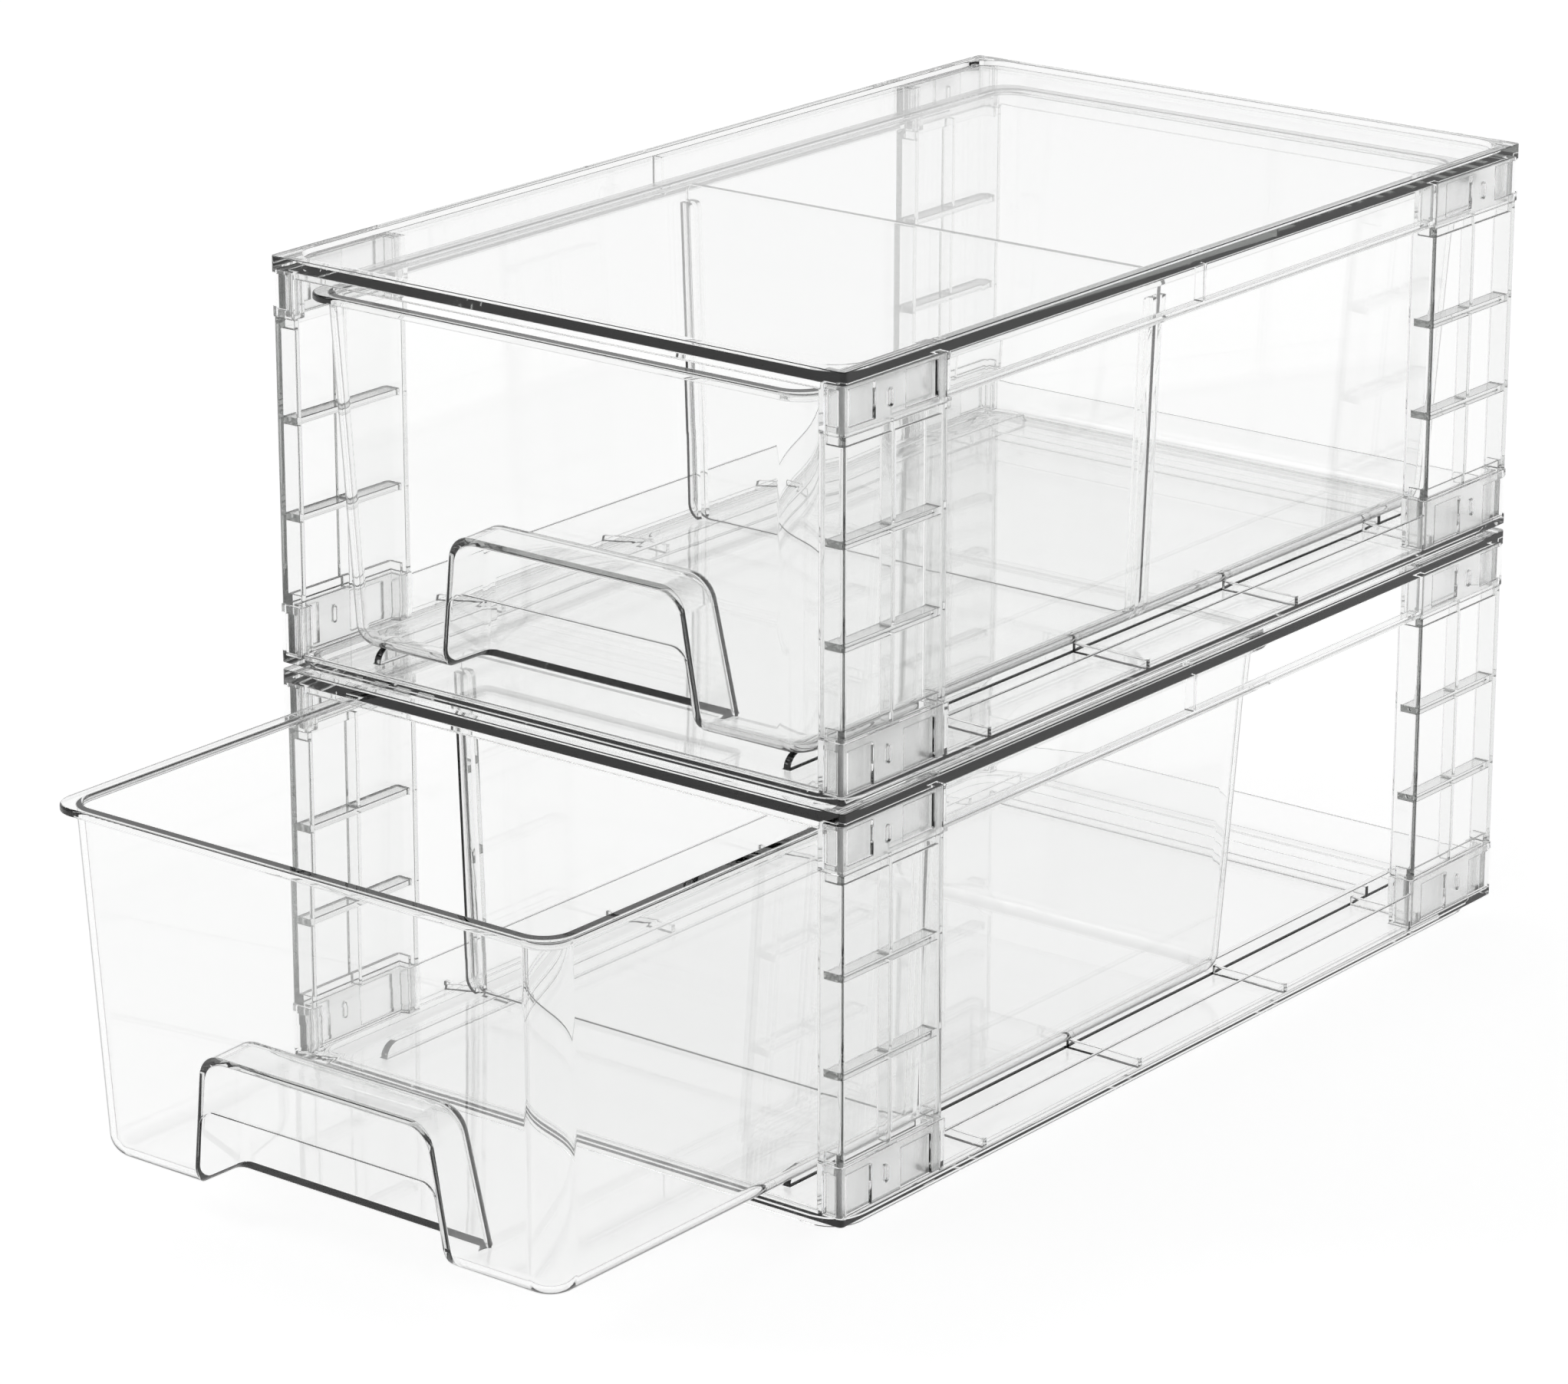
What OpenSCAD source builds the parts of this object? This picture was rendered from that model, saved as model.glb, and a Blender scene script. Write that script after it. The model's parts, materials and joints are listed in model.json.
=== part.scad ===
// Stacking fridge drawers: two identical clear units, one standing on the other. Each unit is a
// base panel and a top panel held apart by four corner posts, a drawer that slides out of the
// front, and a divider that drops into guides halfway along the drawer.
//
// A unit is drawn with its front face at y = 0, its middle at x = 0 and the underside of its floor
// at z = 0. Corner details are drawn once, at the front right, and mirrored to the other corners.

/* [Unit] */
// Width of a unit
unit_w = 200; // [190:1:240]
// Depth of a unit, front to back
unit_d = 330; // [320:1:360]
// Height of a unit, from the underside of its floor to the top of its rim
unit_h = 118; // [116:1:130]
// Height of the foot ring under the floor
foot_h = 3.6; // [2.4:0.2:4.4]

/* [Panels] */
// Width of the rim round the top panel
rim_w = 3.4; // [2.4:0.2:4]
// Height of the rim band
rim_h = 4; // [3:0.2:4.6]
// Depth of the recess inside the rim, which holds the foot ring of the unit above
recess_h = 1.6; // [1:0.2:2]
// Thickness of the floor plate
floor_t = 2; // [1.6:0.2:2.4]
// Height of the base panel's side and rear walls
wall_h = 13.3; // [10:0.1:15]
// Depth of the skirt under the top panel's rim
skirt_h = 12.5; // [10:0.5:14]
// Width of the inward flange at the foot of each side skirt
flange_w = 5.2; // [3:0.2:5.4]

/* [Posts] */
// Length of a post's side flange, front to back
post_d = 46; // [40:1:52]
// Width of a post's front flange
post_w = 8.5; // [7:0.5:9]
// Wall thickness of a post
post_t = 2; // [1.6:0.1:2.2]
// Height of the socket on the base panel that holds a post's foot
base_socket_h = 15.3; // [14:0.1:18]
// Height of the socket under the top panel that holds a post's head
top_socket_h = 13.5; // [12:0.1:16]

/* [Drawer] */
// Height of the drawer's underside over the underside of the unit's floor
drawer_z = 6.4; // [5.6:0.2:8]
// Height of the drawer, from its underside to the top of its rim
drawer_h = 103.1; // [90:0.1:104]
// Width across the drawer's rim
drawer_w = 177.2; // [170:0.2:178]
// Length over the drawer's rim, front to back
drawer_d = 326.6; // [300:0.2:327]
// Wall thickness of the drawer
drawer_t = 1.8; // [1.4:0.1:2.2]
// How far the lower drawer is pulled out
lower_pull = 104.5; // [0:0.5:190]

/* [Handle] */
// Width of the handle pocket at its foot
handle_w = 93; // [80:1:100]
// Height of the handle pocket's top over the drawer's underside
handle_h = 40.8; // [36:0.2:50]
// Height of the opening in the front wall, over the drawer's underside
handle_open_h = 24; // [20:0.5:28]
// Depth of the handle pocket, front to back
handle_d = 20.5; // [16:0.5:24]

/* [Hidden] */

clear = [0.84, 0.9, 0.93, 0.4];
half_w = unit_w / 2;
plate_top = unit_h - recess_h;
plate_under = unit_h - rim_h;
stack_pitch = plate_top + foot_h;
corner_r = 1.5;
round_fn = 48;
hull_fn = 32;
past = 1;

// Foot ring: it stands inside the rim of the unit below with a little room all round
foot_gap = 0.4;
foot_inset = rim_w + foot_gap;
foot_wall = 1.6;
foot_r = 10;
recess_r = foot_r + foot_gap;

// Base panel walls, rails and ribs
base_wall_t = 1.2;
front_lip_h = 3.6;
rail_x = 73;
rail_w = 2.4;
rail_front_y = 10.5;
rail_nose_l = 5;
rail_rear_y = 318;
rib_t = 1.6;
rib_h = 2.6;
side_rib_y = [65, 140, 215, 290];
cross_rib_y = 300;

// Top panel skirts
skirt_t = 1.8;
flange_t = 1.5;
gusset_t = 1;
front_rail_t = 2;
front_rail_drop = 1.7;

// Sockets: an outer sleeve, a slot for the post's tongue and an inner wall
sleeve_t = 1.2;
socket_t = 4.7;
socket_d = post_d + 0.6;
tongue_gap = 0.15;
slot_inset = sleeve_t;
slot_t = post_t + 2 * tongue_gap;
tongue_inset = slot_inset + tongue_gap;
window_y = [[2.4, 10.9], [26.8, 13.6]];
window_front_w = 3.8;
window_closed_edge = 1;
window_open_edge = 2.6;

// Snap bump on the post's tongue, in a slot of the sleeve
snap_y = 20;
snap_w = 1.5;
snap_l = 4.5;
snap_gap = 0.2;
snap_out = 0.95;

// Post flanges, middle rib and webs
post_inset = 0.3;
post_low = floor_t + base_socket_h;
post_high = plate_under - top_socket_h;
tongue_overlap = 3;
post_rib_t = 1.4;
post_rib_out = 4.2;
web_z = [42, 70];
web_t = 2;
web_out = 5;

// Drawer: draft of its walls, fillet round its floor, rim and divider guides
draft_x = 0.036;
front_draft = 0.047;
rear_draft = 0.07;
drawer_top = drawer_z + drawer_h;
lip_h = 2.15;
lip_under = drawer_top - lip_h;
lip_out = 2.9;
lip_r = 8.5;
drawer_proud = 0.6;
drawer_corner_r = 9.5;
drawer_fillet = 6.5;
drawer_floor_t = 2;
slice_h = 0.02;
guide_gap = 2.4;
guide_t = 2;
guide_out = 3.6;
guide_low = drawer_z + 1;
guide_high = 103;
drawer_mid_y = drawer_d / 2 - drawer_proud;

// Handle pocket
handle_front_lean = atan(front_draft);
handle_rear_lean = 7;
handle_taper = 0.115;
handle_r = 8;
handle_open_r = 5;
handle_rear_rise = 1;
handle_rear_narrow = 0.4;

// Divider
divider_t = 2;
divider_gap = 0.4;
divider_top = drawer_top - 1.1;
divider_foot_r = 6;
divider_head_r = 2.5;

// The whole stack is centred over its footprint, the pulled drawer included
stack_front_y = (lower_pull + drawer_proud - unit_d) / 2;

// Half-width, front and rear of the drawer's outer wall at height z
function drawer_half_w(z) = drawer_w / 2 - lip_out - draft_x * (lip_under - z);
function drawer_front(z) = lip_out - drawer_proud + front_draft * (lip_under - z);
function drawer_rear(z) = drawer_d - drawer_proud - lip_out - rear_draft * (lip_under - z);

module at_unit(level) translate([0, stack_front_y, foot_h + level * stack_pitch]) children();

module both_sides() {
  children();
  mirror([1, 0, 0]) children();
}

module to_rear() translate([0, unit_d, 0]) mirror([0, 1, 0]) children();

module four_corners() {
  both_sides() children();
  both_sides() to_rear() children();
}

// Rounded rectangle with its front edge at y = 0
module rounded_plan(w, d, r, fn = round_fn) {
  translate([-w / 2 + r, 0]) square([w - 2 * r, d]);
  translate([-w / 2, r]) square([w, d - 2 * r]);
  for (x = [-1, 1], y = [r, d - r])
    translate([x * (w / 2 - r), y]) circle(r, $fn = fn);
}

// Channel outline of thickness t, open towards the middle of the unit, whose outer corner is set in
// from the unit's front right corner
module channel_plan(inset, w, d, t, r) {
  translate([half_w - inset, inset])
    difference() {
      union() {
        translate([-w, 0]) square([w - r, d]);
        translate([-r - t, r]) square([r + t, d - 2 * r]);
        for (y = [r, d - r]) translate([-r, y]) circle(r, $fn = round_fn);
      }
      translate([-w - past, t]) square([w - t + past, d - 2 * t]);
    }
}

// Upright capsule facing sideways
module capsule(w, l, t) {
  rotate([90, 0, 90])
    linear_extrude(t) {
      translate([-w / 2, -(l - w) / 2]) square([w, l - w]);
      for (z = [-1, 1]) translate([0, z * (l - w) / 2]) circle(w / 2, $fn = round_fn);
    }
}

// Solid part of a socket, from its closed end at z = 0; its corner is square where the unit's side runs on
module socket_block(h) linear_extrude(h) {
  channel_plan(0, post_w, socket_d, socket_t, corner_r);
  translate([half_w - corner_r, socket_d - corner_r]) square(corner_r);
}

// Slot for the post's tongue, windows in the sleeve, and the slot for the snap bump
module socket_cuts(h) {
  slot_w = post_w - 2 * sleeve_t;
  slot_d = socket_d - 2 * sleeve_t;
  window_h = h - window_closed_edge - window_open_edge;
  linear_extrude(h + past) channel_plan(slot_inset, slot_w, slot_d, slot_t, corner_r / 2);
  for (w = window_y)
    translate([half_w - slot_inset - post_t / 2, w[0], window_closed_edge])
      cube([sleeve_t + post_t, w[1], window_h]);
  translate([half_w - post_w + 2 * sleeve_t, -past, window_closed_edge])
    cube([window_front_w, past + sleeve_t + post_t / 2, window_h]);
  translate([half_w - slot_inset - post_t / 2, snap_y, h / 2])
    capsule(snap_w + 2 * snap_gap, snap_l + 2 * snap_gap, sleeve_t + post_t);
}

module rail() {
  translate([-rail_w / 2, 0, 0])
    rotate([90, 0, 90])
      linear_extrude(rail_w)
        polygon([
          [rail_front_y, floor_t],
          for (a = [0:15:90]) [
            rail_front_y + rail_nose_l * (1 - cos(a)),
            floor_t + (drawer_z - floor_t) * sin(a)
          ],
          [rail_rear_y, drawer_z],
          [rail_rear_y, floor_t]
        ]);
}

// Tray with low side and rear walls, rails for the drawer, post sockets, and a foot ring below
module base_panel() color(clear) {
  difference() {
    union() {
      linear_extrude(floor_t) rounded_plan(unit_w, unit_d, corner_r);
      both_sides()
        translate([half_w - base_wall_t, socket_d / 2, 0])
          cube([base_wall_t, unit_d - socket_d, wall_h]);
      translate([-half_w + post_w / 2, unit_d - base_wall_t, 0])
        cube([unit_w - post_w, base_wall_t, wall_h]);
      translate([-half_w + post_w / 2, 0, 0])
        cube([unit_w - post_w, base_wall_t, front_lip_h]);
      four_corners() translate([0, 0, floor_t]) socket_block(base_socket_h);
      both_sides() translate([rail_x, 0, 0]) rail();
      both_sides()
        for (y = side_rib_y)
          translate([rail_x, y, floor_t / 2])
            cube([half_w - rail_x - base_wall_t / 2, rib_t, floor_t / 2 + rib_h]);
      translate([-rail_x, cross_rib_y, floor_t / 2])
        cube([2 * rail_x, rib_t, floor_t / 2 + rib_h]);
    }
    four_corners() translate([0, 0, floor_t]) socket_cuts(base_socket_h);
  }
  translate([0, foot_inset, -foot_h])
    linear_extrude(foot_h)
      difference() {
        rounded_plan(unit_w - 2 * foot_inset, unit_d - 2 * foot_inset, foot_r);
        translate([0, foot_wall])
          rounded_plan(
            unit_w - 2 * (foot_inset + foot_wall),
            unit_d - 2 * (foot_inset + foot_wall),
            foot_r - foot_wall
          );
      }
}

// Skirt along one side, with an inward flange at its foot and a gusset at mid-length
module side_skirt() {
  skirt_l = unit_d - socket_d;
  translate([half_w - skirt_t, socket_d / 2, plate_under - skirt_h])
    cube([skirt_t, skirt_l, skirt_h]);
  translate([half_w - flange_w, socket_d / 2, plate_under - skirt_h])
    cube([flange_w, skirt_l, flange_t]);
  translate([half_w - flange_w, (unit_d - gusset_t) / 2, plate_under - skirt_h])
    cube([flange_w, gusset_t, skirt_h]);
}

// Recessed lid with a raised rim, skirts at the sides and rear, and sockets facing down
module top_panel() color(clear) {
  difference() {
    union() {
      translate([0, 0, plate_under])
        linear_extrude(rim_h) rounded_plan(unit_w, unit_d, corner_r);
      translate([-half_w + post_w / 2, 0, plate_under - front_rail_drop])
        cube([unit_w - post_w, front_rail_t, rim_h]);
      both_sides() side_skirt();
      translate([-half_w + post_w / 2, unit_d - skirt_t, plate_under - skirt_h])
        cube([unit_w - post_w, skirt_t, skirt_h]);
      four_corners() translate([0, 0, plate_under]) mirror([0, 0, 1]) socket_block(top_socket_h);
    }
    translate([0, rim_w, plate_top])
      linear_extrude(recess_h + past)
        rounded_plan(unit_w - 2 * rim_w, unit_d - 2 * rim_w, recess_r);
    four_corners() translate([0, 0, plate_under]) mirror([0, 0, 1]) socket_cuts(top_socket_h);
  }
}

// Tongue at one end of a post, with its snap bump, from z = 0 to its end at z = l
module post_tongue(l, snap_z) {
  tongue_w = post_w - sleeve_t - 2 * tongue_gap - tongue_inset;
  tongue_d = socket_d - 2 * tongue_inset;
  linear_extrude(l) channel_plan(tongue_inset, tongue_w, tongue_d, post_t, corner_r / 2);
  translate([half_w - tongue_inset - post_t / 2, snap_y, snap_z])
    capsule(snap_w, snap_l, post_t / 2 + snap_out);
}

// Stiffening web across the inside of the post's channel
module post_web() {
  translate([half_w - post_inset - post_t - web_out, post_inset + post_t / 2, 0])
    cube([web_out + post_t / 2, post_d - post_inset - post_t, web_t]);
}

module post() color(clear) {
  rib_x = half_w - post_inset - post_t - post_rib_out;
  translate([0, 0, post_low])
    linear_extrude(post_high - post_low) {
      channel_plan(post_inset, post_w - post_inset, post_d - post_inset, post_t, corner_r);
      translate([rib_x, (post_d - post_rib_t) / 2]) square([post_rib_out + post_t / 2, post_rib_t]);
    }
  for (z = web_z) translate([0, 0, z]) post_web();
  translate([0, 0, post_low + tongue_overlap])
    mirror([0, 0, 1])
      post_tongue(
        base_socket_h + tongue_overlap - tongue_gap,
        base_socket_h / 2 + tongue_overlap
      );
  translate([0, 0, post_high - tongue_overlap])
    post_tongue(
      top_socket_h + tongue_overlap - tongue_gap,
      top_socket_h / 2 + tongue_overlap
    );
}

// One level of the drawer's wall, set in from its outside
module drawer_slice(z, inset) {
  r = max(drawer_corner_r - inset, 1);
  translate([0, drawer_front(z) + inset, z])
    linear_extrude(slice_h)
      rounded_plan(
        2 * (drawer_half_w(z) - inset),
        drawer_rear(z) - drawer_front(z) - 2 * inset,
        r,
        hull_fn
      );
}

// Tapered body with a fillet round its floor
module tub(inset, low, high, fillet) {
  hull() {
    for (a = [0:18:90]) drawer_slice(low + fillet * (1 - cos(a)), inset + fillet * (1 - sin(a)));
    drawer_slice(high, inset);
  }
}

// Arch across the handle pocket, standing on z = 0 and leaning forwards
module arch(w, h, r, t, lean) {
  top_w = w - 2 * handle_taper * h;
  rotate([lean, 0, 0])
    rotate([90, 0, 0])
      linear_extrude(t, center = true)
        hull() {
          translate([-w / 2, 0]) square([w, slice_h]);
          for (x = [-1, 1]) translate([x * (top_w / 2 - r), h - r]) circle(r, $fn = hull_fn);
        }
}

// Space of the handle pocket, from a depth behind the drawer's front face to another
module pocket(inset, from_y, to_y) {
  translate([0, drawer_front(drawer_z), drawer_z])
    hull() {
      translate([0, from_y, 0])
        arch(
          handle_w - 2 * inset,
          handle_h - inset,
          handle_r - inset / 2,
          slice_h,
          handle_front_lean
        );
      translate([0, to_y, 0])
        arch(
          handle_w - 2 * (inset + handle_rear_narrow),
          handle_h + handle_rear_rise - inset,
          handle_r - inset / 2,
          slice_h,
          handle_rear_lean
        );
    }
}

// Opening through the front wall below the grip, carried on down through the floor
module pocket_mouth() {
  for (z = [drawer_z, drawer_z - drawer_floor_t])
    translate([0, drawer_front(z), z])
      arch(
        handle_w - 2 * drawer_t,
        handle_open_h,
        handle_open_r,
        4 * drawer_t,
        handle_front_lean
      );
}

// Rib standing on the floor against the side wall, with a rounded head, beside the divider
module guide_rib() {
  head_r = guide_out / 2;
  neck_z = guide_high - head_r;
  wall_mid = drawer_t / 2;
  foot_bend = drawer_fillet - wall_mid;
  rotate([90, 0, 0])
    linear_extrude(guide_t, center = true)
      polygon([
        [drawer_half_w(guide_high) - wall_mid, guide_high],
        [drawer_half_w(guide_high) - drawer_t - head_r, guide_high],
        for (a = [90:15:180]) [
          drawer_half_w(neck_z) - drawer_t - head_r + head_r * cos(a),
          neck_z + head_r * sin(a)
        ],
        [drawer_half_w(guide_low) - drawer_t - guide_out, guide_low],
        for (a = [18:18:90]) [
          drawer_half_w(guide_low) - wall_mid - foot_bend * (1 - sin(a)),
          guide_low + foot_bend * (1 - cos(a))
        ]
      ]);
}

module drawer() color(clear) {
  difference() {
    union() {
      difference() {
        union() {
          tub(0, drawer_z, lip_under, drawer_fillet);
          translate([0, -drawer_proud, lip_under])
            linear_extrude(lip_h) rounded_plan(drawer_w, drawer_d, lip_r);
        }
        tub(drawer_t, drawer_z + drawer_floor_t, drawer_top + past, drawer_fillet - drawer_t);
      }
      intersection() {
        pocket(0, drawer_t / 2, handle_d);
        tub(0, drawer_z, lip_under, drawer_fillet);
      }
      both_sides()
        for (side = [-1, 1])
          translate([0, drawer_mid_y + side * (guide_gap + guide_t) / 2, 0]) guide_rib();
    }
    pocket(drawer_t, drawer_t, handle_d - drawer_t);
    translate([0, 0, -drawer_floor_t]) pocket(drawer_t, drawer_t, handle_d - drawer_t);
    pocket_mouth();
  }
}

// Plate that stands on the drawer's floor between the guide ribs
module divider() color(clear) {
  foot_z = drawer_z + drawer_floor_t;
  side_gap = drawer_t + divider_gap;
  translate([0, drawer_mid_y, 0])
    rotate([90, 0, 0])
      linear_extrude(divider_t, center = true)
        hull()
          for (side = [-1, 1]) {
            translate([
              side * (drawer_half_w(foot_z) - side_gap - divider_foot_r),
              foot_z + divider_foot_r
            ])
              circle(divider_foot_r, $fn = round_fn);
            translate([
              side * (drawer_half_w(divider_top) - side_gap - divider_head_r),
              divider_top - divider_head_r
            ])
              circle(divider_head_r, $fn = round_fn);
          }
}

module front_right_post() post();
module front_left_post() mirror([1, 0, 0]) post();
module rear_right_post() to_rear() post();
module rear_left_post() mirror([1, 0, 0]) to_rear() post();

module pulled() translate([0, -lower_pull, 0]) children();

module lower_base_panel() at_unit(0) base_panel();
module lower_top_panel() at_unit(0) top_panel();
module lower_front_left_post() at_unit(0) front_left_post();
module lower_front_right_post() at_unit(0) front_right_post();
module lower_rear_left_post() at_unit(0) rear_left_post();
module lower_rear_right_post() at_unit(0) rear_right_post();
module lower_drawer() at_unit(0) pulled() drawer();
module lower_divider() at_unit(0) pulled() divider();
module upper_base_panel() at_unit(1) base_panel();
module upper_top_panel() at_unit(1) top_panel();
module upper_front_left_post() at_unit(1) front_left_post();
module upper_front_right_post() at_unit(1) front_right_post();
module upper_rear_left_post() at_unit(1) rear_left_post();
module upper_rear_right_post() at_unit(1) rear_right_post();
module upper_drawer() at_unit(1) drawer();
module upper_divider() at_unit(1) divider();

lower_base_panel();
lower_top_panel();
lower_front_left_post();
lower_front_right_post();
lower_rear_left_post();
lower_rear_right_post();
lower_drawer();
lower_divider();
upper_base_panel();
upper_top_panel();
upper_front_left_post();
upper_front_right_post();
upper_rear_left_post();
upper_rear_right_post();
upper_drawer();
upper_divider();
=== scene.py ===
"""Looks of the clear stacking fridge drawers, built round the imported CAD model. Metres, row frame."""

import json
import math

import bmesh
import bpy
from mathutils import Matrix, Vector


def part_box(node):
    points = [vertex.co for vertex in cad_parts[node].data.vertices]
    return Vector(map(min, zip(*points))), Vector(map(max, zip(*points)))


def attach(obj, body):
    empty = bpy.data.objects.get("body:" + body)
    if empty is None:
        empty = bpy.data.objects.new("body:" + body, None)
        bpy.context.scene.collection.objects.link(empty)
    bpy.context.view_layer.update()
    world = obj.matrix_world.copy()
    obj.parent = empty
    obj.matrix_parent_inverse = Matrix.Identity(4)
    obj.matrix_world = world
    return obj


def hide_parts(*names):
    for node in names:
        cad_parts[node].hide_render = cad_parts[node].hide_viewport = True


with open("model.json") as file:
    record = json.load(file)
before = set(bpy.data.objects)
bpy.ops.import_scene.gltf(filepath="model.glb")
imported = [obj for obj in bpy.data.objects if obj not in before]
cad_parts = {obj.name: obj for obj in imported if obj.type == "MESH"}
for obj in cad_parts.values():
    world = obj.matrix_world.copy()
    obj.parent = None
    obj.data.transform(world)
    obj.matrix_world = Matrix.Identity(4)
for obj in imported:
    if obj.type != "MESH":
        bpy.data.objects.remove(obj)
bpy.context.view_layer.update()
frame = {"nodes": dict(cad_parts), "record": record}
scene = bpy.context.scene

MM = 0.001

# Drawer, in millimetres from the front of its rim (y), its middle (x) and its underside (z)
DRAWER_W, DRAWER_D, DRAWER_H = 177.2, 326.6, 103.1
WALL_T, FLOOR_T = 1.8, 2.0
DRAFT_SIDE, DRAFT_FRONT, DRAFT_REAR = 0.036, 0.047, 0.07
CORNER_R, FILLET_R, LEAST_R = 9.5, 6.5, 0.8
DRAWER_EDGE = 0.35

# Its rim: a lip that stands out from the wall, rounded at its top, underside and foot
LIP_H, LIP_OUT, LIP_R, LIP_R_DROP = 2.15, 2.9, 8.5, 0.6
LIP_EDGE, LIP_UNDER, LIP_FOOT = 0.75, 0.5, 0.35
LIP_LOW = DRAWER_H - LIP_H

# Its handle pocket: an arch that leans and narrows with depth, with a lower mouth through the front wall
POCKET_W, POCKET_H, POCKET_D, POCKET_R = 93.0, 40.8, 20.5, 8.0
POCKET_TAPER, POCKET_REAR_LEAN = 0.115, 7.0
POCKET_RISE, POCKET_NARROW = 1.0, 0.4
POCKET_ROUND_OUT, POCKET_ROUND_IN = 3.4, 2.6
MOUTH_H, MOUTH_R = 24.0, 5.0
FLARE_R, FLARE_TURN, FLARE_RUN, FLARE_STEPS = 3.0, math.radians(75), 0.4, 5
SHELL_LOW, ROOM_LOW, ROOM_FRONT = -1, -3, -6

# Its two pairs of ribs, which hold the divider
GUIDE_Y, GUIDE_STEP, GUIDE_T, GUIDE_OUT = 163.3, 2.2, 2.0, 3.6
GUIDE_HIGH, GUIDE_FOOT, GUIDE_TOE, GUIDE_EDGE = 96.6, 0.1, 0.2, 0.25

# Clean-up of a moulding: points this close are one, edges this short are gone, and the angles between faces that
# count as flat and as sharp
ONE_POINT, SHORT = 0.12, 0.01
FLAT, SHARP = math.radians(0.3), math.radians(32)

# Edges of the carried-over nodes, in metres, with the angles that count as flat and as sharp
NODE_POINT, NODE_ROOM, NODE_EDGE = 0.01 * MM, 0.03 * MM, 0.3 * MM
NODE_FLAT, NODE_SHARP = math.radians(0.5), math.radians(35)
SHADED_SHARP = math.radians(36)

# Clear plastic: colour face on, what a long path through it does to light, and haze where it is frosted
CLEAR, DEPTH_TINT = (0.996, 0.997, 0.996, 1.0), (0.52, 0.53, 0.52, 1.0)
HAZE, FROST, FROST_FADE = 0.02, 0.22, 0.6 * MM
RIPPLE_DEPTH = 0.6 * MM


def add_mesh(name, bm):
    """Object of the finished bmesh, which is freed."""
    mesh = bpy.data.meshes.new(name)
    bm.to_mesh(mesh)
    bm.free()
    obj = bpy.data.objects.new(name, mesh)
    scene.collection.objects.link(obj)
    return obj


def solid(name, rings):
    """Closed mesh through rings of points, each ring with the same number of points, in millimetres."""
    bm = bmesh.new()
    loops = [[bm.verts.new(Vector(p)) for p in ring] for ring in rings]
    n = len(loops[0])
    for a, b in zip(loops, loops[1:]):
        for i in range(n):
            bm.faces.new((a[i], a[(i + 1) % n], b[(i + 1) % n], b[i]))
    bm.faces.new(list(reversed(loops[0])))
    bm.faces.new(loops[-1])
    bmesh.ops.remove_doubles(bm, verts=bm.verts, dist=1e-4)
    bmesh.ops.recalc_face_normals(bm, faces=bm.faces)
    return add_mesh(name, bm)


def combine(obj, other, operation):
    """Boolean with another solid, which is used up."""
    mod = obj.modifiers.new("cut", "BOOLEAN")
    mod.operation = operation
    mod.solver = "EXACT"
    mod.object = other
    made = bpy.data.meshes.new_from_object(obj.evaluated_get(bpy.context.evaluated_depsgraph_get()))
    obj.modifiers.clear()
    obj.data = made
    bpy.data.objects.remove(other)


def quarter(steps):
    """Sines and cosines of a quarter turn."""
    turn = [math.pi / 2 * i / steps for i in range(steps + 1)]
    return [(math.sin(a), math.cos(a)) for a in turn]


def side_at(z):
    return DRAWER_W / 2 - LIP_OUT - DRAFT_SIDE * (LIP_LOW - z)


def front_at(z):
    return LIP_OUT + DRAFT_FRONT * (LIP_LOW - z)


def rear_at(z):
    return DRAWER_D - LIP_OUT - DRAFT_REAR * (LIP_LOW - z)


def rounded_ring(half_w, front, rear, r, z, per_corner=12):
    """Rounded rectangle of points at height z, counter-clockwise from above."""
    ring = []
    for cx, cy, start in (
        (half_w - r, front + r, -90),
        (half_w - r, rear - r, 0),
        (-half_w + r, rear - r, 90),
        (-half_w + r, front + r, 180),
    ):
        for i in range(per_corner + 1):
            a = math.radians(start + 90 * i / per_corner)
            ring.append((cx + r * math.cos(a), cy + r * math.sin(a), z))
    return ring


def wall_ring(z, inset):
    """Ring of the drawer's wall at height z, set in from its outside."""
    r = max(CORNER_R - inset, LEAST_R)
    return rounded_ring(side_at(z) - inset, front_at(z) + inset, rear_at(z) - inset, r, z)


def lip_ring(z, inset):
    """Ring of the drawer's rim at height z, set in from its outside."""
    return rounded_ring(DRAWER_W / 2 - inset, inset, DRAWER_D - inset, LIP_R - inset * LIP_R_DROP, z)


def tub_rings():
    """The drawer's body as one skin: underside, outside, rim, inside and floor."""
    top, edge, foot, under = DRAWER_H, LIP_EDGE, LIP_FOOT, LIP_UNDER
    rings = [wall_ring(FILLET_R * (1 - c), FILLET_R * (1 - s)) for s, c in quarter(8)]
    rings.append(wall_ring(LIP_LOW - foot, 0))
    rings += [wall_ring(LIP_LOW - foot * (1 - s), foot * (c - 1)) for s, c in quarter(3)[1:]]
    rings += [lip_ring(LIP_LOW + under * (1 - c), under * (1 - s)) for s, c in quarter(4)]
    rings += [lip_ring(top - edge * (1 - s), edge * (1 - c)) for s, c in quarter(5)]
    rings += [wall_ring(top - edge * (1 - c), WALL_T - edge * (1 - s)) for s, c in quarter(5)]
    r_in = FILLET_R - WALL_T
    rings += [wall_ring(FLOOR_T + r_in * (1 - s), WALL_T + r_in * (1 - c)) for s, c in quarter(7)]
    return rings


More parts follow.
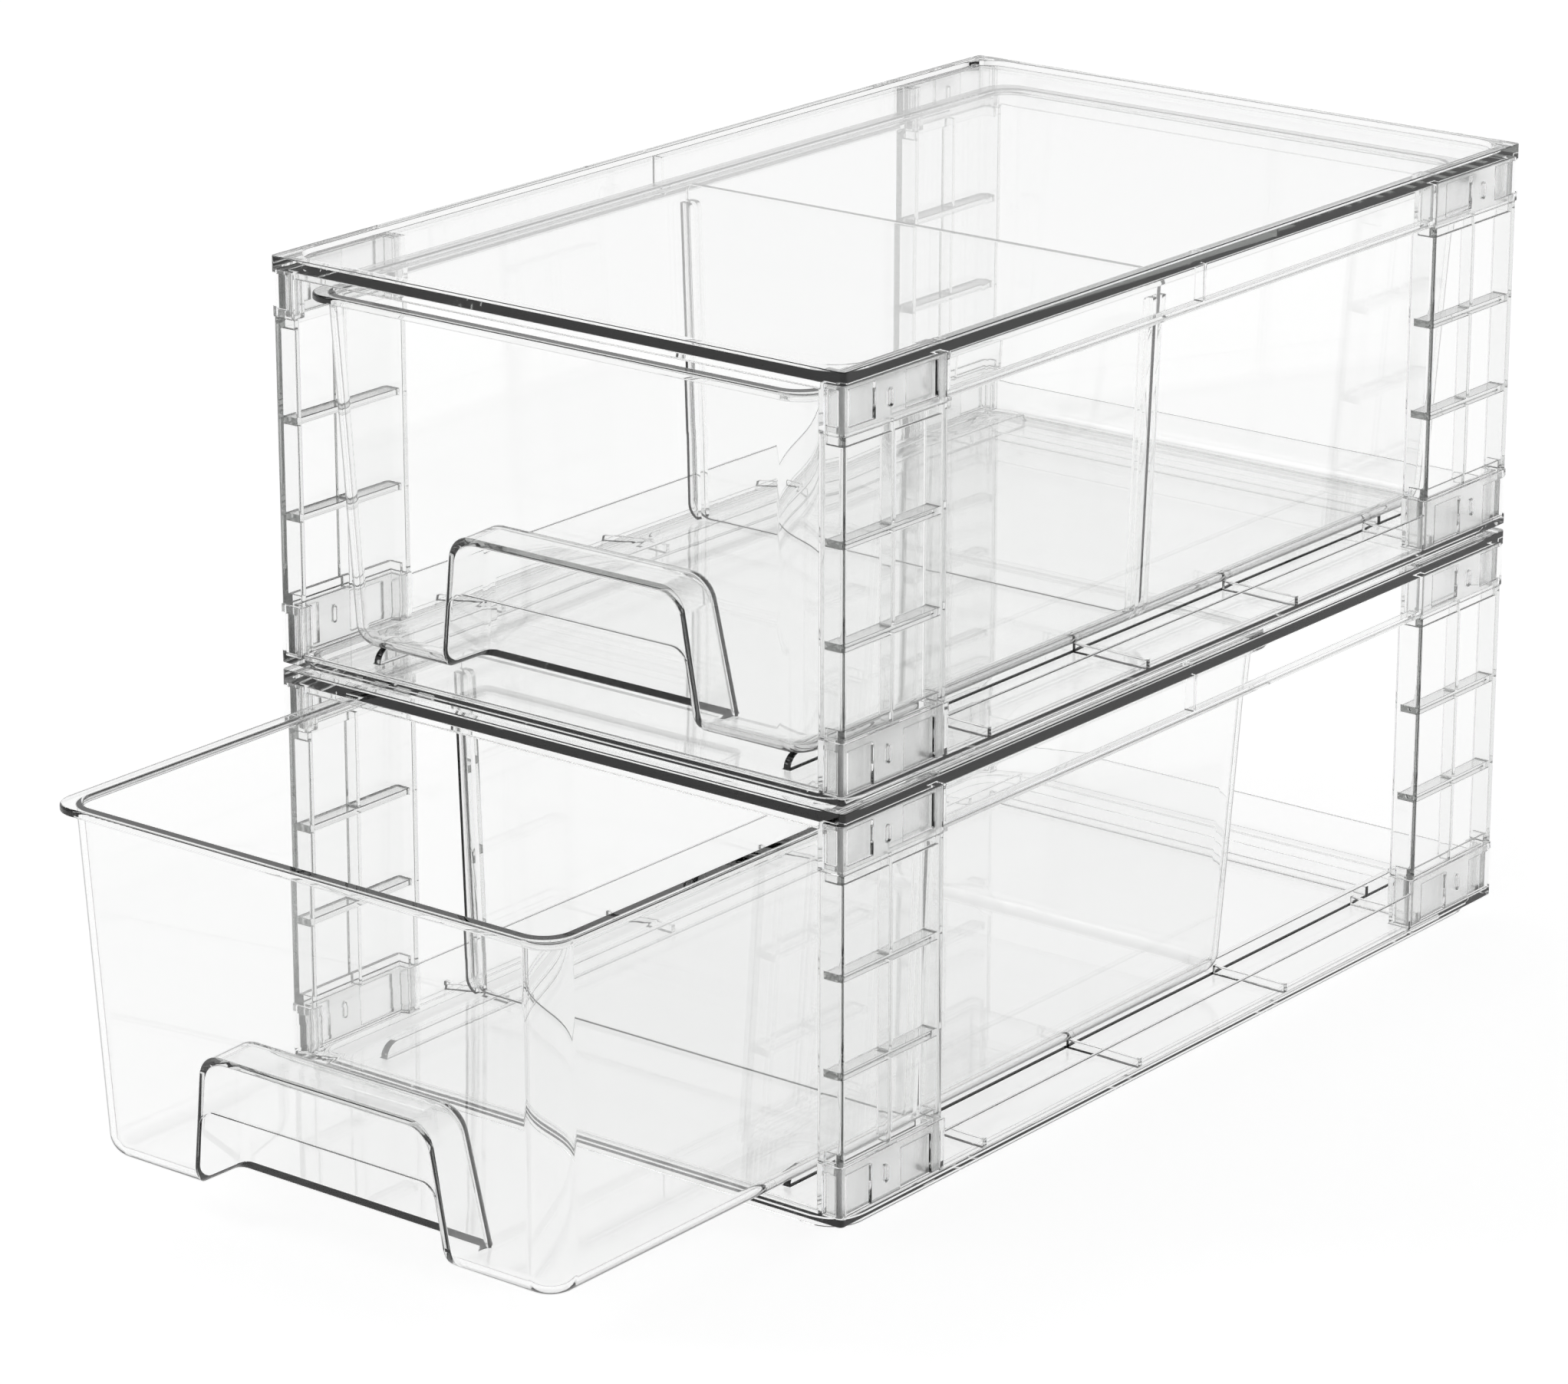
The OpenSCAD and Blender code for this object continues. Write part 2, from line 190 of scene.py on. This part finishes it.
def arch_outline(w, h, r, low, flare, span, steps=8):
    """Upright arch as (x, z) points from the left foot over the top to the right foot. The sides slope as for an
    arch of height and corner radius span, so that a lower arch keeps to the sides of a higher one."""
    full_h, full_r = span
    slope = 0
    for _ in range(3):
        slope = (POCKET_TAPER * full_h - full_r * (math.hypot(1, slope) - 1)) / (full_h - full_r)

    def corner(ch, cr):
        cx, cz = w / 2 - slope * (ch - cr) - cr * math.hypot(1, slope), ch - cr
        low_a = math.atan(slope)
        turn = [math.pi / 2 + (low_a - math.pi / 2) * i / steps for i in range(steps + 1)]
        return [(cx + cr * math.cos(a), cz + cr * math.sin(a)) for a in turn]

    right = corner(h, r) + [corner(MOUTH_H, MOUTH_R)[-1]]
    if flare:
        rise = flare * math.sin(FLARE_TURN)
        for i in range(FLARE_STEPS + 1):
            a = FLARE_TURN * i / FLARE_STEPS
            z = rise - flare * math.sin(a)
            right.append((w / 2 - slope * z + flare * (1 - math.cos(a)), z))
        right.append((right[-1][0] + FLARE_RUN, low))
    else:
        right.append((w / 2 - slope * low, low))
    return [(-x, z) for x, z in reversed(right)] + right


def pocket_ring(depth, inset, low, flare=0, mouth=False):
    """Outline of the handle pocket at a depth behind the front wall, set in from its outside."""
    t = max(0, depth - WALL_T) / (POCKET_D - WALL_T)
    front_lean, rear_lean = math.atan(DRAFT_FRONT), math.radians(POCKET_REAR_LEAN)
    lean = math.tan(front_lean + (rear_lean - front_lean) * t)
    w = POCKET_W - 2 * POCKET_NARROW * t - 2 * inset
    span = (POCKET_H + POCKET_RISE * t - inset, POCKET_R - inset / 2)
    h, r = (MOUTH_H, MOUTH_R) if mouth else span
    return [(x, front_at(0) + depth - z * lean, z) for x, z in arch_outline(w, h, r, low, flare, span)]


def rounded_rear(inset, depth, radius, low, flare=0):
    return [
        pocket_ring(depth - radius * (1 - s), inset + radius * (1 - c), low, flare)
        for s, c in quarter(5)
    ]


def pocket_shell():
    """Outside of the handle pocket, kept within the middle of the drawer's walls."""
    mid = WALL_T / 2
    rings = [pocket_ring(mid, 0, SHELL_LOW)]
    shell = solid("pocket_shell", rings + rounded_rear(0, POCKET_D, POCKET_ROUND_OUT, SHELL_LOW))
    r = FILLET_R - mid
    bounds = [wall_ring(FLOOR_T / 2 + r * (1 - c), mid + r * (1 - s)) for s, c in quarter(8)]
    bounds.append(wall_ring(DRAWER_H / 2, mid))
    combine(shell, solid("pocket_bounds", bounds), "INTERSECT")
    return shell


def pocket_room():
    """Space inside the handle pocket, open below, with the opening through the front wall."""
    rings = [pocket_ring(d, WALL_T, ROOM_LOW, FLARE_R, True) for d in (ROOM_FRONT, WALL_T)]
    rings.append(pocket_ring(WALL_T, WALL_T, ROOM_LOW, FLARE_R))
    rings += rounded_rear(WALL_T, POCKET_D - WALL_T, POCKET_ROUND_IN, ROOM_LOW, FLARE_R)
    return solid("pocket_room", rings)


def guide_rib(side, y):
    """Rib with a rounded head on the inside of a side wall, down to the floor."""
    mid, r = WALL_T / 2, GUIDE_OUT / 2
    neck = GUIDE_HIGH - r
    bend = FILLET_R - mid
    foot_x, foot_z = side_at(FLOOR_T) - WALL_T - GUIDE_OUT, FLOOR_T / 2 + GUIDE_FOOT
    outline = [(side_at(GUIDE_HIGH) - mid, GUIDE_HIGH)]
    outline += [(side_at(neck) - WALL_T - r - r * s, neck + r * c) for s, c in quarter(6)]
    outline.append((foot_x, foot_z))
    for s, c in quarter(6):
        x = side_at(0) - mid - bend * (1 - s)
        if x > foot_x + GUIDE_TOE:
            outline.append((x, foot_z + bend * (1 - c)))
    front, rear = y - GUIDE_T / 2, y + GUIDE_T / 2
    rib = solid("guide_rib", [[(side * x, depth, z) for x, z in outline] for depth in (front, rear)])
    mould(rib, GUIDE_EDGE)
    return rib


def mould(obj, width):
    """Dissolves what is flat, and rounds the sharp edges."""
    bm = bmesh.new()
    bm.from_mesh(obj.data)
    bmesh.ops.remove_doubles(bm, verts=bm.verts, dist=ONE_POINT)
    bmesh.ops.dissolve_degenerate(bm, edges=bm.edges, dist=SHORT)
    bmesh.ops.dissolve_limit(bm, angle_limit=FLAT, verts=bm.verts, edges=bm.edges, use_dissolve_boundaries=False)
    sharp = [e for e in bm.edges if len(e.link_faces) == 2 and e.calc_face_angle() > SHARP]
    bmesh.ops.bevel(
        bm, geom=sharp, offset=width, offset_type="OFFSET", segments=2, profile=0.5,
        affect="EDGES", clamp_overlap=False,
    )
    bmesh.ops.recalc_face_normals(bm, faces=bm.faces)
    bm.to_mesh(obj.data)
    bm.free()


def drawer_mesh():
    """Mesh of one whole drawer, in metres from the front of its rim, its middle and its underside."""
    drawer = solid("drawer", tub_rings())
    combine(drawer, pocket_shell(), "UNION")
    combine(drawer, pocket_room(), "DIFFERENCE")
    mould(drawer, DRAWER_EDGE)
    for side in (-1, 1):
        for y in (GUIDE_Y - GUIDE_STEP, GUIDE_Y + GUIDE_STEP):
            combine(drawer, guide_rib(side, y), "UNION")
    mesh = drawer.data
    bpy.data.objects.remove(drawer)
    mesh.transform(Matrix.Scale(MM, 4))
    return mesh


def add_node(nt, kind, inputs=(), **settings):
    """Shader node with its settings, and with its sockets linked or set to constants."""
    node = nt.nodes.new("ShaderNode" + kind)
    for key, value in settings.items():
        setattr(node, key, value)
    for key, value in dict(inputs).items():
        if isinstance(value, bpy.types.NodeSocket):
            nt.links.new(value, node.inputs[key])
        else:
            node.inputs[key].default_value = value
    return node


def clear_plastic(name, absorb, grazing, bare=None):
    """Polished clear moulding: slow flow ripples, haze that varies a little, and a tint that deepens with depth.
    It has painted edge shade: its colour and its reflections darken over the grazing angles (start, end, level
    left).
    It is frosted away from the bare part of each level (low, high, pitch), where the posts have their tongues."""
    mat = bpy.data.materials.new(name)
    mat.use_nodes = True
    nt = mat.node_tree
    nt.nodes.clear()
    place = add_node(nt, "TexCoord").outputs["Object"]

    marks = add_node(nt, "TexNoise", {"Vector": place, "Scale": 90.0, "Detail": 3.0})
    haze = add_node(nt, "MapRange", {
        "Value": marks.outputs["Fac"], "From Min": 0.35, "From Max": 0.75, "To Min": 0.0, "To Max": HAZE,
    }).outputs["Result"]
    if bare:
        low, high, pitch = bare
        half = (high - low) / 2
        height = add_node(nt, "SeparateXYZ", {0: place}).outputs["Z"]
        level = add_node(nt, "Math", {0: height, 1: pitch}, operation="MODULO").outputs[0]
        off = add_node(nt, "Math", {0: level, 1: low + half}, operation="SUBTRACT").outputs[0]
        far = add_node(nt, "Math", {0: off}, operation="ABSOLUTE").outputs[0]
        frost = add_node(nt, "MapRange", {
            "Value": far, "From Min": half, "From Max": half + FROST_FADE, "To Min": 0.0, "To Max": FROST,
        }).outputs["Result"]
        haze = add_node(nt, "Math", {0: haze, 1: frost}, operation="ADD").outputs[0]

    flow = add_node(nt, "TexNoise", {"Vector": place, "Scale": 14.0, "Detail": 1.0})
    ripple = add_node(nt, "Bump", {"Height": flow.outputs["Fac"], "Strength": 0.05, "Distance": RIPPLE_DEPTH})

    start, end, left = grazing
    # Painted edge shade: colour and specular tint darken from face on towards grazing angles, standing in for the
    # dark surroundings that the rounded edges would mirror and refract
    facing = add_node(nt, "LayerWeight", {"Blend": 0.5}).outputs["Facing"]
    edge = add_node(nt, "MapRange", {"Value": facing, "From Min": start, "From Max": end}).outputs["Result"]
    # Sockets 6 and 7 are the Mix node's two colours, and its output 2 is their mix
    painted_edge_shade = add_node(nt, "Mix", {0: edge, 6: CLEAR, 7: (left, left, left, 1.0)}, data_type="RGBA").outputs[2]
    bsdf = add_node(nt, "BsdfPrincipled", {
        "Transmission Weight": 1.0, "IOR": 1.5, "Base Color": painted_edge_shade, "Specular Tint": painted_edge_shade,
        "Roughness": haze, "Normal": ripple.outputs["Normal"],
    })
    depth = add_node(nt, "VolumeAbsorption", {"Color": DEPTH_TINT, "Density": absorb})
    add_node(nt, "OutputMaterial", {"Surface": bsdf.outputs[0], "Volume": depth.outputs[0]})
    return mat


def modifier(obj, name, kind, **settings):
    mod = obj.modifiers.new(name, kind)
    for key, value in settings.items():
        setattr(mod, key, value)


def soften(obj):
    """Moulded edges on a carried-over node: one skin, whole flat faces, a hair of room at joints, round edges."""
    modifier(obj, "one_skin", "WELD", merge_threshold=NODE_POINT)
    modifier(obj, "flat_faces", "DECIMATE", decimate_type="DISSOLVE", angle_limit=NODE_FLAT)
    modifier(obj, "joint_room", "DISPLACE", strength=-NODE_ROOM, mid_level=0.0, direction="NORMAL")
    modifier(
        obj, "edge_round", "BEVEL", width=NODE_EDGE, segments=2, limit_method="ANGLE",
        angle_limit=NODE_SHARP, use_clamp_overlap=False,
    )
    modifier(obj, "shading", "WEIGHTED_NORMAL", keep_sharp=True)
    obj.data.shade_smooth()


def place_drawer(level, mesh):
    """A drawer stands where its CAD node does."""
    low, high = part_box(level + "_drawer")
    obj = bpy.data.objects.new(level + "_drawer_moulding", mesh.copy())
    obj.data.transform(Matrix.Translation(((low.x + high.x) / 2, low.y, low.z)))
    scene.collection.objects.link(obj)
    obj.data.materials.clear()
    obj.data.materials.append(MATERIALS["clear_drawer"])
    obj.data.shade_smooth()
    obj.data.set_sharp_from_angle(angle=SHADED_SHARP)
    modifier(obj, "shading", "WEIGHTED_NORMAL", keep_sharp=True)
    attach(obj, level + "_drawer_set")
    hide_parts(level + "_drawer")


def stage_floor(half_size, z, grey, glow):
    """White sweep that glows a little, so that it stays pale under the clear plastic."""
    bm = bmesh.new()
    bmesh.ops.create_grid(bm, x_segments=1, y_segments=1, size=half_size)
    obj = add_mesh("floor", bm)
    obj.location.z = z
    mat = bpy.data.materials.new("floor")
    mat.use_nodes = True
    bsdf = mat.node_tree.nodes["Principled BSDF"]
    bsdf.inputs["Base Color"].default_value = (grey, grey, grey, 1)
    bsdf.inputs["Roughness"].default_value = 1.0
    bsdf.inputs["Specular IOR Level"].default_value = 0.0
    bsdf.inputs["Emission Color"].default_value = (1, 1, 1, 1)
    bsdf.inputs["Emission Strength"].default_value = glow
    obj.data.materials.append(mat)


def studio_sky(levels):
    """Sky that changes with height alone, through (height, grey) levels from the horizon up to straight above."""
    world = bpy.data.worlds.new("studio")
    scene.world = world
    world.use_nodes = True
    nt = world.node_tree
    nt.nodes.clear()
    place = add_node(nt, "TexCoord").outputs["Generated"]
    height = add_node(nt, "SeparateXYZ", {0: place}).outputs["Z"]
    ramp = add_node(nt, "ValToRGB", {0: height})
    sky = add_node(nt, "Background", {"Color": ramp.outputs[0]})
    add_node(nt, "OutputWorld", {"Surface": sky.outputs[0]})
    stops = ramp.color_ramp.elements
    stops.remove(stops[1])
    for i, (position, grey) in enumerate(levels):
        stop = stops.new(position) if i else stops[0]
        stop.position = position
        stop.color = (grey, grey, grey, 1)


def softbox(name, location, aim, size, power):
    light = bpy.data.lights.new(name, "AREA")
    light.shape = "SQUARE"
    light.size = size
    light.energy = power
    obj = bpy.data.objects.new(name, light)
    obj.location = location
    obj.rotation_mode = "QUATERNION"
    obj.rotation_quaternion = (Vector(aim) - obj.location).to_track_quat("-Z", "Y")
    scene.collection.objects.link(obj)


def place_camera(location, azimuth, elevation, lens):
    """Camera that looks back from an azimuth, turned from the front to the right, and an elevation, in degrees."""
    data = bpy.data.cameras.new("camera")
    data.sensor_width = 36.0
    data.lens = lens
    data.clip_end = 100
    obj = bpy.data.objects.new("camera", data)
    scene.collection.objects.link(obj)
    az, el = math.radians(azimuth), math.radians(elevation)
    back = Vector((math.sin(az) * math.cos(el), -math.cos(az) * math.cos(el), math.sin(el)))
    obj.location = location
    obj.rotation_mode = "QUATERNION"
    obj.rotation_quaternion = (-back).to_track_quat("-Z", "Y")
    scene.camera = obj


# The posts are bare between the sockets of the base and top panels
base_low, base_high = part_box("lower_base_panel")
bare_part = (base_high.z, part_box("lower_top_panel")[0].z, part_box("upper_base_panel")[0].z - base_low.z)
# Each plastic's last group is its painted edge shade: the facing range over which it darkens, and the grey it
# darkens to
MATERIALS = {
    "clear_panel": clear_plastic("panel_plastic", 14, (0.82, 0.95, 0.25)),
    "clear_post": clear_plastic("post_plastic", 50, (0.6, 0.8, 0.3), bare_part),
    "clear_drawer": clear_plastic("drawer_plastic", 18, (0.735, 0.8, 0.12)),
    "clear_divider": clear_plastic("divider_plastic", 18, (0.735, 0.8, 0.2)),
}
node_slots = {s["node"]: s["material_slot"] for s in frame["record"]["subparts"]}
for node, obj in frame["nodes"].items():
    obj.data.materials.clear()
    obj.data.materials.append(MATERIALS[node_slots[node]])
    soften(obj)

one_drawer = drawer_mesh()
for level in ("lower", "upper"):
    place_drawer(level, one_drawer)

stage_floor(12, -0.4 * MM, 0.8, 0.79)
# The low sky, which the flat plates mirror, is bright; the dome above it is dark, which the moulded edges pick up
studio_sky(((0.0, 0.2), (0.12, 0.9), (0.43, 0.95), (0.54, 0.12), (1.0, 0.06)))
softbox("key", (-1.1, -0.9, 1.5), (0, 0, 0.1), 0.5, 2.0)
softbox("fill", (1.4, 0.5, 1.3), (0, 0, 0.1), 0.4, 0.8)
place_camera((0.98938, -1.26972, 0.64057), 38.147, 18.379, 135.6)

scene.view_settings.view_transform = "Standard"
scene.cycles.max_bounces = 48
scene.cycles.transmission_bounces = 48
scene.cycles.glossy_bounces = 16
scene.cycles.diffuse_bounces = 3
